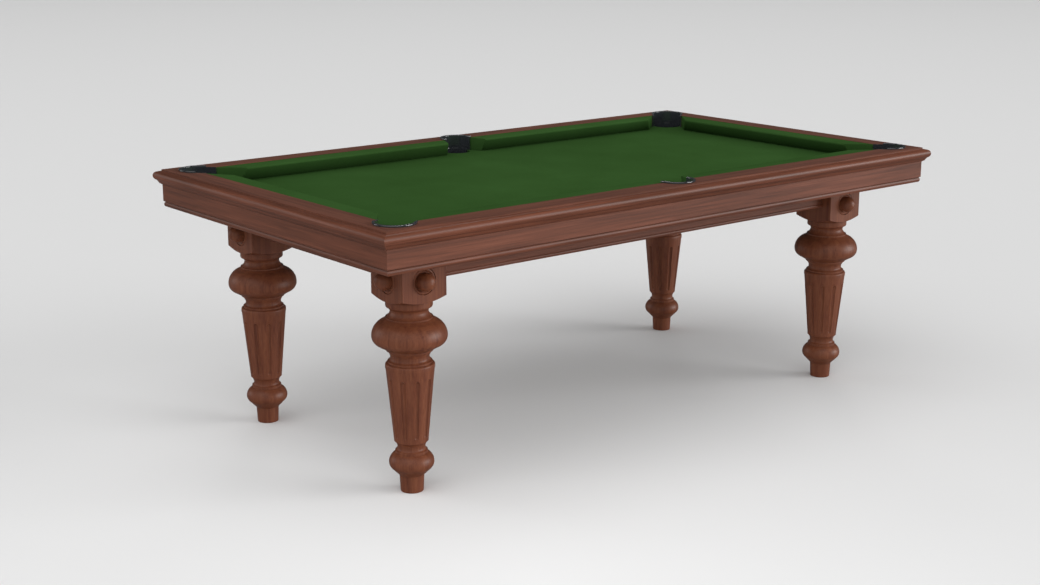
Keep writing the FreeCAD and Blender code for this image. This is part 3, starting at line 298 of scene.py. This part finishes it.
slate = ground_slate("ground_slate")
pine = {axis: sawn_pine("sawn_pine_along_" + axis.lower(), axis) for axis in "XY"}
zinc_steel = plated_metal("zinc_plated_steel", "#b9bcc0", 0.25, 0.45)
turned_brass = plated_metal("turned_brass", "#c9a35a", 0.22, 0.40)
print("hidden", slate.name, len(pine), zinc_steel.name, turned_brass.name)

# %% [markdown]
# ## Dressing the CAD pieces
# Each CAD piece keeps its shape and takes the finish of what it is made of. Boards along the
# front and back have their grain along X, those at the ends along Y, and legs along Z.


# %% Assign the finishes
def dress(name, material):
    """Give a CAD piece its finish."""
    mesh = nodes[name].data
    mesh.materials.clear()
    mesh.materials.append(material)


SIDE_GRAIN = {"front": "X", "back": "X", "left": "Y", "right": "Y"}
for name in nodes:
    side = name.split("_")[-1]
    if name.startswith(("rail_bolts", "leg_bolts", "foot_spindle")):
        dress(name, zinc_steel)
    elif name == "rail_cleats":
        dress(name, pine["X"])
    elif name.startswith(("rail_", "fascia_", "beam_")):
        dress(name, mahogany[SIDE_GRAIN[side]])
    elif name.startswith(("leg_", "rosettes")):
        dress(name, mahogany["Z"])
    elif name.startswith("joist_"):
        dress(name, pine["Y"])
    elif name.startswith("slate_"):
        dress(name, slate)
    elif name.startswith("pocket_liner_"):
        dress(name, gloss_black)
    elif name.startswith(("pocket_cup_", "foot_pad_")):
        dress(name, matt_black)
    elif name == "foot_inserts":
        dress(name, turned_brass)
    elif name == "cushion_rubber":
        dress(name, cushion_gum)

# %% [markdown]
# ## The bed cloth
# The cloth is one sheet, pulled tight over the slates and glued down inside the pockets. Its
# outline is a rectangle with a round bite at each pocket, which runs out through the edge. A
# vertex spun about the pocket's middle draws each bite, one fill makes the sheet, and the
# edges of the bites are extruded in small steps to roll the cloth over the slate's edge.

# %% Make the bed cloth
MM = 0.001
CLOTH_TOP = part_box("bed_cloth")[1].z
CLOTH_HALF = Vector((1030 * MM, 555 * MM))
CORNER_POCKET = Vector((998 * MM, 523 * MM))
MIDDLE_POCKET = Vector((0.0, 537 * MM))
CORNER_RADIUS = 50 * MM
MIDDLE_RADIUS = 48 * MM
BITE_STEPS = 48
ROLL_MM = ((0.4, 0.15), (0.8, 0.6), (1.0, 1.4), (1.0, 12.0))
SHEET_THICKNESS = 0.7 * MM
ON_ROUND = 1e-5


def pocket_places():
    """Middle and radius of each pocket, once round the table from the back right one."""
    corners = [Vector((sx * CORNER_POCKET.x, sy * CORNER_POCKET.y)) for sx, sy in
               ((1, 1), (-1, 1), (-1, -1), (1, -1))]
    back, front = MIDDLE_POCKET, Vector((0.0, -MIDDLE_POCKET.y))
    return [(corners[0], CORNER_RADIUS), (back, MIDDLE_RADIUS), (corners[1], CORNER_RADIUS),
            (corners[2], CORNER_RADIUS), (front, MIDDLE_RADIUS), (corners[3], CORNER_RADIUS)]


def bite_ends(middle, radius):
    """Start and end of a pocket's bite on the cloth's outline, anticlockwise round the sheet."""
    spots = []
    for axis in (0, 1):
        edge = math.copysign(CLOTH_HALF[axis], middle[axis])
        gap = edge - middle[axis]
        if abs(gap) < radius and abs(middle[axis]) > 0:
            run = math.sqrt(radius ** 2 - gap ** 2)
            for way in (-run, run):
                spot = Vector((0.0, 0.0))
                spot[axis] = edge
                spot[1 - axis] = middle[1 - axis] + way
                if abs(spot[1 - axis]) <= CLOTH_HALF[1 - axis]:
                    spots.append(spot)
    return sorted(spots, key=lambda spot: math.atan2(spot.y, spot.x) % (2 * math.pi))


def new_piece(name, mesh_builder, material):
    """Object at the origin from a finished bmesh."""
    mesh = bpy.data.meshes.new(name)
    mesh_builder.to_mesh(mesh)
    mesh_builder.free()
    mesh.materials.append(material)
    piece = bpy.data.objects.new(name, mesh)
    scene.collection.objects.link(piece)
    return piece


def make_bed_cloth():
    """The cloth as one sheet whose bites roll down into the pockets."""
    shape = bmesh.new()
    ends = []
    for middle, radius in pocket_places():
        start, stop = bite_ends(middle, radius)
        vert = shape.verts.new((start.x, start.y, CLOTH_TOP))
        from_angle = math.atan2(start.y - middle.y, start.x - middle.x)
        to_angle = math.atan2(stop.y - middle.y, stop.x - middle.x)
        inward = math.atan2(-middle.y, -middle.x)
        sweep = (to_angle - from_angle) % (2 * math.pi)
        if (inward - from_angle) % (2 * math.pi) > sweep:
            sweep -= 2 * math.pi
        spun = bmesh.ops.spin(shape, geom=[vert], cent=(middle.x, middle.y, CLOTH_TOP), axis=(0, 0, 1),
                              angle=sweep, steps=BITE_STEPS)
        last = [item for item in spun["geom_last"] if isinstance(item, bmesh.types.BMVert)][0]
        ends.append((vert, last))
    for index, (_, last) in enumerate(ends):
        shape.edges.new((last, ends[(index + 1) % len(ends)][0]))
    bmesh.ops.triangle_fill(shape, use_beauty=True, edges=shape.edges[:])
    for middle, radius in pocket_places():
        rim = [edge for edge in shape.edges if edge.is_boundary and all(
            abs((vert.co.xy - middle).length - radius) < ON_ROUND for vert in edge.verts)]
        for shrink, drop in ROLL_MM:
            grown = bmesh.ops.extrude_edge_only(shape, edges=rim)["geom"]
            fresh = [item for item in grown if isinstance(item, bmesh.types.BMVert)]
            for vert in fresh:
                outward = (vert.co.xy - middle).normalized() * (radius - shrink * MM)
                vert.co = (middle.x + outward.x, middle.y + outward.y, CLOTH_TOP - drop * MM)
            rim = [item for item in grown if isinstance(item, bmesh.types.BMEdge)
                   and all(vert in fresh for vert in item.verts)]
    bmesh.ops.recalc_face_normals(shape, faces=shape.faces[:])
    if sum(face.normal.z * face.calc_area() for face in shape.faces) < 0:
        bmesh.ops.reverse_faces(shape, faces=shape.faces[:])
    for face in shape.faces:
        face.smooth = True
    piece = new_piece("bed_cloth_sheet", shape, bed_wool)
    wall = piece.modifiers.new("cloth_thickness", "SOLIDIFY")
    wall.thickness = SHEET_THICKNESS
    wall.offset = -1.0
    return piece


bed_cloth = make_bed_cloth()
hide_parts("bed_cloth")
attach(bed_cloth, "frame")
print("bed cloth", len(bed_cloth.data.polygons), "faces")

# %% [markdown]
# ## The cushions
# A cushion is a rubber strip with the same cloth pulled tight over it. Its section has a flat
# top that falls a little towards the nose, a round nose, and a face that slopes back to the
# bed. The section is extruded along its rail, its ends are cut to the pocket's jaws with a
# plane, and a bevel rounds the edges where the cloth folds over.

# %% Make the cushions
OUTER_HALF = Vector((1100 * MM, 625 * MM))
RAIL_WIDTH = 90
CUSHION_WIDTH = 60
SECTION = [(90, 0.5), (135, 0.5), (147.4, 32.6), (149.2, 34.8), (150, 37.6), (149.3, 40.2),
           (147.4, 41.9), (144.8, 42.4), (120, 42.9), (96, 43.5), (91.5, 43.4), (90, 42.3)]
CORNER_WOOD_END = -169
CORNER_JAW = 78
MIDDLE_WOOD_END = 54
MIDDLE_JAW = 26
SPARE = 10
FOLD_RADIUS = 1.2


def cushion_ends(half_length, half_name):
    """Wood end and nose end of both ends of a cushion along its side, in millimetres."""
    corner = half_length / MM + CORNER_WOOD_END
    if half_name is None:
        return (-corner, -corner + CORNER_JAW), (corner, corner - CORNER_JAW)
    if half_name == "low":
        return (-corner, -corner + CORNER_JAW), (-MIDDLE_WOOD_END, -MIDDLE_WOOD_END - MIDDLE_JAW)
    return (MIDDLE_WOOD_END, MIDDLE_WOOD_END + MIDDLE_JAW), (corner, corner - CORNER_JAW)


def make_cushion(name, side_turn, half_length, base, half_name):
    """Cushion in its side's own frame, x along the side and y inwards, then turned into place."""
    start, stop = cushion_ends(half_length, half_name)
    low_x, high_x = start[0] - SPARE, stop[0] + SPARE
    shape = bmesh.new()
    ring = [shape.verts.new((low_x * MM, d * MM, CLOTH_TOP + z * MM)) for d, z in SECTION]
    face = shape.faces.new(ring)
    grown = bmesh.ops.extrude_face_region(shape, geom=[face])["geom"]
    moved = [item for item in grown if isinstance(item, bmesh.types.BMVert)]
    bmesh.ops.translate(shape, verts=moved, vec=((high_x - low_x) * MM, 0, 0))
    for (wood, nose), way in ((start, -1), (stop, 1)):
        along = Vector(((nose - wood) * MM, CUSHION_WIDTH * MM, 0)).normalized()
        outward = Vector((along.y, -along.x, 0)) * way
        cut = bmesh.ops.bisect_plane(shape, geom=shape.verts[:] + shape.edges[:] + shape.faces[:],
                                     plane_co=(wood * MM, RAIL_WIDTH * MM, 0), plane_no=outward,
                                     clear_outer=True)
        edges = [item for item in cut["geom_cut"] if isinstance(item, bmesh.types.BMEdge)]
        bmesh.ops.contextual_create(shape, geom=edges)
        bmesh.ops.bevel(shape, geom=edges, offset=FOLD_RADIUS * MM, offset_type="OFFSET", affect="EDGES",
                        segments=3, profile=0.5, material=-1)
    bmesh.ops.recalc_face_normals(shape, faces=shape.faces[:])
    turn = Matrix.Rotation(math.radians(side_turn), 4, "Z")
    bmesh.ops.transform(shape, matrix=Matrix.Translation(base) @ turn, verts=shape.verts[:])
    for face in shape.faces:
        face.smooth = True
    piece = new_piece(name + "_pad", shape, bed_wool)
    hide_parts(name)
    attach(piece, "frame")
    return piece


FRONT = (0, OUTER_HALF.x, Vector((0, -OUTER_HALF.y, 0)))
BACK = (180, OUTER_HALF.x, Vector((0, OUTER_HALF.y, 0)))
LEFT = (-90, OUTER_HALF.y, Vector((-OUTER_HALF.x, 0, 0)))
RIGHT = (90, OUTER_HALF.y, Vector((OUTER_HALF.x, 0, 0)))
CUSHIONS = {"cushion_front_left": (*FRONT, "low"), "cushion_front_right": (*FRONT, "high"),
            "cushion_back_left": (*BACK, "high"), "cushion_back_right": (*BACK, "low"),
            "cushion_left": (*LEFT, None), "cushion_right": (*RIGHT, None)}
for name, where in CUSHIONS.items():
    pad = make_cushion(name, *where)
    print(pad.name, len(pad.data.polygons), "faces")

# %% [markdown]
# ## Studio
# A pale floor, which reaches past the top of the picture and so is also the background.
# Its tone is painted light: it is brightest at a spot at the front left and fades with the
# distance from it, standing in for the lamps' falloff and the soft shade around the table.
# The light is that of a photographer's studio: a large low lamp at the front right, a very
# wide fill at the front left, a wide weak lamp overhead, a weak one at the back left and a
# small faint one at the back right that draws the rims of the near pockets. Each lamp is far
# away, so it is a sun, and its angle says how wide it looks from the table. The surround is
# dim and even, and as pale as the floor where a low camera sees it behind the table. It and
# the floor are darker in reflections, as the black walls of a studio are.


# %% Floor, lamps and world
# Painted light: the floor is brightest at the spot and fades with the distance, standing in for the
# lamps' falloff and the soft shade round the table.
FLOOR_PAINTED_LIGHT_STOPS = ((0.0, "#f1f1f1"), (0.05, "#e3e3e3"), (0.10, "#d7d7d7"), (0.18, "#d4d4d4"),
               (0.33, "#d1d1d1"), (1.0, "#c2c2c2"))
FLOOR_REACH = 60.0
PAINTED_LIGHT_SPOT = (-1.0, -1.1, 0.0)
FADE_REACH = 24.0


def studio_floor():
    """Level floor with painted light: its tone fades with the distance from its bright spot."""
    shape = bmesh.new()
    bmesh.ops.create_grid(shape, x_segments=1, y_segments=1, size=FLOOR_REACH)
    material, tree, shader = new_material("pale_studio_floor")
    place = add(tree, "TexCoord").outputs["Object"]
    away = add(tree, "VectorMath", {"operation": "DISTANCE"}, {0: place})
    away.inputs[1].default_value = PAINTED_LIGHT_SPOT
    fading = add(tree, "MapRange", links={"Value": away.outputs["Value"]}, From_Max=FADE_REACH)
    pale = ramp(tree, fading.outputs["Result"], FLOOR_PAINTED_LIGHT_STOPS)
    rays = add(tree, "LightPath")
    seen = add(tree, "Mix", {"data_type": "RGBA"}, {"Factor": rays.outputs["Is Glossy Ray"], "A": pale})
    seen.inputs["B"].default_value = linear("#808080")
    tree.links.new(seen.outputs["Result"], shader.inputs["Base Color"])
    shader.inputs["Roughness"].default_value = 0.9
    shader.inputs["Specular IOR Level"].default_value = 0.0
    floor = new_piece("studio_floor", shape, material)


def wide_lamp(name, towards, angle, power):
    """Lamp that shines from a direction and looks that many degrees wide from the table."""
    lamp = bpy.data.lights.new(name, "SUN")
    lamp.angle = math.radians(angle)
    lamp.energy = power
    thing = bpy.data.objects.new(name, lamp)
    thing.rotation_euler = Vector(towards).to_track_quat("Z", "Y").to_euler()
    scene.collection.objects.link(thing)


def dim_surround(level, in_reflections, behind):
    """Even surround, at a level of its own in reflections and where the camera sees it."""
    world = bpy.data.worlds.new("dim_surround")
    scene.world = world
    world.use_nodes = True
    tree = world.node_tree
    rays = add(tree, "LightPath")
    strength = add(tree, "Mix", {"data_type": "FLOAT"}, {"Factor": rays.outputs["Is Glossy Ray"]},
                   A=level, B=in_reflections)
    shown = add(tree, "Mix", {"data_type": "FLOAT"},
                {"Factor": rays.outputs["Is Camera Ray"], "A": strength.outputs["Result"]}, B=behind)
    background = tree.nodes["Background"]
    background.inputs["Color"].default_value = linear("#f7f7f7")
    tree.links.new(shown.outputs["Result"], background.inputs["Strength"])


studio_floor()
wide_lamp("key_lamp", (0.72, -0.69, 0.10), 40, 3.2)
wide_lamp("top_lamp", (-0.30, -0.22, 0.93), 75, 0.72)
wide_lamp("rim_lamp", (-0.57, 0.80, 0.22), 30, 0.4)
wide_lamp("back_lamp", (0.54, 0.66, 0.53), 8, 0.1)
wide_lamp("fill_lamp", (-0.78, -0.54, 0.32), 110, 1.3)
dim_surround(0.57, 0.05, 0.62)
scene.view_settings.view_transform = "Standard"

# %% [markdown]
# ## Camera
# The camera stands to the left of the front long side, a little above head height, and looks
# down on the near corner. Its place and its lens were worked out from the table's own lines.

# %% Camera
SENSOR_MM = 36.0
LENS_MM = 55.18
CAMERA_PLACE = (-3.2833, -3.8282, 1.6196)
LOOKING = Vector((0.61375, 0.75110, -0.24324)).normalized()
ACROSS = Vector((0.77436, -0.63275, 0.0)).normalized()

camera = bpy.data.cameras.new("camera")
camera.sensor_width = SENSOR_MM
camera.lens = LENS_MM
viewer = bpy.data.objects.new("camera", camera)
turn = Matrix((ACROSS, ACROSS.cross(LOOKING), -LOOKING)).transposed()
viewer.matrix_world = Matrix.Translation(CAMERA_PLACE) @ turn.to_4x4()
scene.collection.objects.link(viewer)
scene.camera = viewer

# %% Update the scene
bpy.context.view_layer.update()
